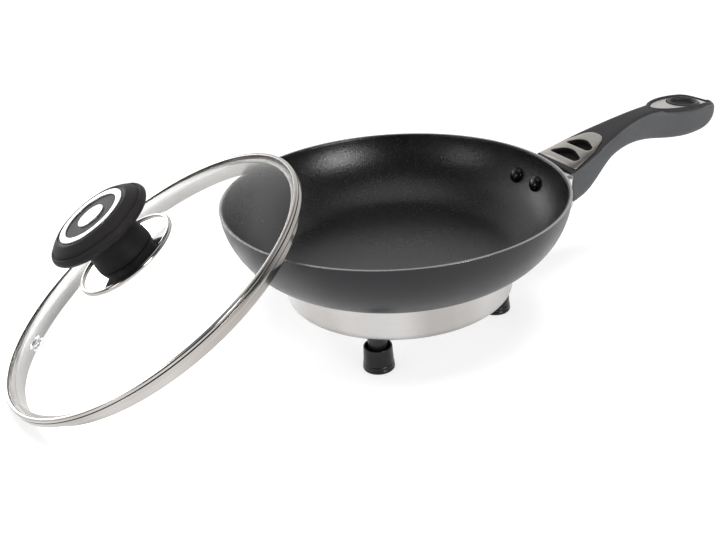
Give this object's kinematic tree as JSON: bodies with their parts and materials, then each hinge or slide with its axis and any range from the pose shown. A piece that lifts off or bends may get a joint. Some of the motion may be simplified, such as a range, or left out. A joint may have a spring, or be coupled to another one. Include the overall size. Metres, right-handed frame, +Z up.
{
  "type": "electric skillet",
  "caption": "Electric skillet with a round non-stick pan on a heater drum with rubber-booted feet, a curved handle with a hang hole, and a loose domed glass lid with a mushroom knob.",
  "frame": {"origin": "centre of the pan's cooking floor, on its upper face", "axes": "+X from the pan along the handle, +Z up, +Y to the left when looking along +X"},
  "size_m": [0.5587, 0.2747, 0.1318],
  "materials": {
    "nonstick": "satin non-stick coating with fine sparkle",
    "soft_touch": "matte soft-touch",
    "black_plastic": "satin",
    "rivet_black": "gloss",
    "boot_rubber": "smooth satin",
    "drum_steel": "brushed",
    "collar_steel": "satin",
    "band_steel": "polished stainless",
    "knob_chrome": "mirror",
    "trim_metal": "satin",
    "aluminium": "mill",
    "fastener_steel": "plain",
    "element_sheath": "heat-darkened",
    "lid_glass": "clear",
    "seal_silicone": "matte",
    "steatite": "unglazed",
    "wire_sleeve": "woven glass sleeve",
    "mineral_pad": "felted",
    "brass": "plain",
    "phenolic": "moulded"
  },
  "bodies": {
    "skillet": {"pan_body": "nonstick", "handle_rivets": "rivet_black", "handle_bracket": "fastener_steel", "handle_collar": "collar_steel", "handle_grip": "soft_touch", "handle_screw": "fastener_steel", "trim_plate": "trim_metal", "ring_plate": "trim_metal", "hang_bush": "black_plastic", "heater_drum": "drum_steel", "heat_spreader": "aluminium", "heating_element": "element_sheath", "element_clamp": "fastener_steel", "clamp_screws": "fastener_steel", "thermostat": "phenolic", "thermal_fuse": "steatite", "link_wires": "wire_sleeve", "insulation_pad": "mineral_pad", "heat_shield": "aluminium", "centre_stud": "fastener_steel", "stud_spacer": "fastener_steel", "stud_washer": "fastener_steel", "stud_nut": "fastener_steel", "inlet_block": "steatite", "inlet_shroud": "black_plastic", "inlet_pins": "fastener_steel", "earth_clips": "brass", "inlet_screws": "fastener_steel", "foot_post_1": "black_plastic", "foot_post_2": "black_plastic", "foot_post_3": "black_plastic", "foot_boot_1": "boot_rubber", "foot_boot_2": "boot_rubber", "foot_boot_3": "boot_rubber", "foot_screws": "fastener_steel"},
    "lid": {"lid_glass": "lid_glass", "lid_band": "band_steel", "lid_seal": "seal_silicone", "vent_grommet": "band_steel", "lid_ferrule": "knob_chrome", "lid_screw": "fastener_steel", "lid_washer": "fastener_steel"},
    "knob": {"knob_stem": "soft_touch", "knob_cap": "soft_touch", "knob_inlay": "knob_chrome", "knob_insert": "brass"}
  },
  "joints": [
    {"name": "lid_lift", "type": "slide", "parent": "skillet", "child": "lid", "axis": [-0.4866, 0.1008, 0.8678], "range_m": [0, 0.2]},
    {"name": "knob_turn", "type": "hinge", "parent": "lid", "child": "knob", "pos_m": [-0.17023, 0.03525, 0.01646], "axis": [-0.4866, 0.1008, 0.8678], "continuous": true}
  ]
}
